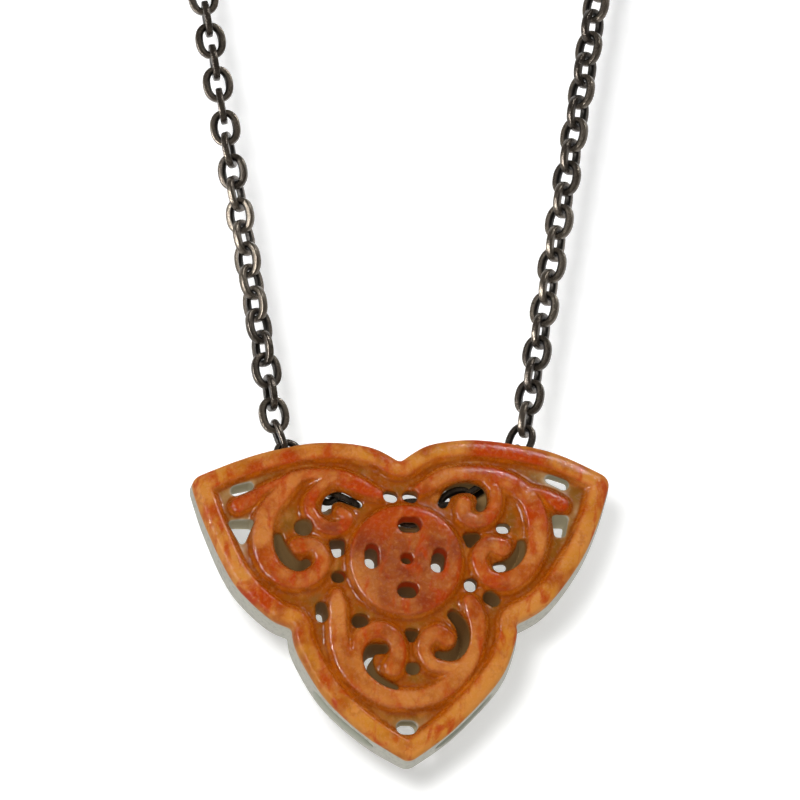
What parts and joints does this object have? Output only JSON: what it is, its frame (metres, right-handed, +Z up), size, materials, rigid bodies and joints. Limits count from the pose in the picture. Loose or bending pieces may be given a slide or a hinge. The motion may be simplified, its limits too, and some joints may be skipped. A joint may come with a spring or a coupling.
{
  "type": "jade slide pendant necklace",
  "caption": "Pierced and carved three-petal stone slide pendant, bored along an arc, threaded on a closed cable chain with a plain clasp at the nape.",
  "frame": {"origin": "the underside of the clasp at the top of the chain's loop, where it lies on the nape or a peg", "axes": "+Z up along the loop, +X to the wearer's left, which is the viewer's right, -Y out of the carved front"},
  "size_m": [0.078, 0.0069, 0.2231],
  "materials": {
    "jade": "polished russet jade",
    "chain": "dark gunmetal"
  },
  "bodies": {
    "chain": {"chain_left": "chain", "chain_right": "chain", "clasp": "chain"},
    "pendant": {"jade_pendant": "jade", "chain_in_pendant": "chain"}
  },
  "joints": [
    {"name": "pendant_swing", "type": "hinge", "parent": "chain", "child": "pendant", "pos_m": [0, 0, -0.1868], "axis": [1, 0, 0], "range_deg": [-20, 20]}
  ]
}
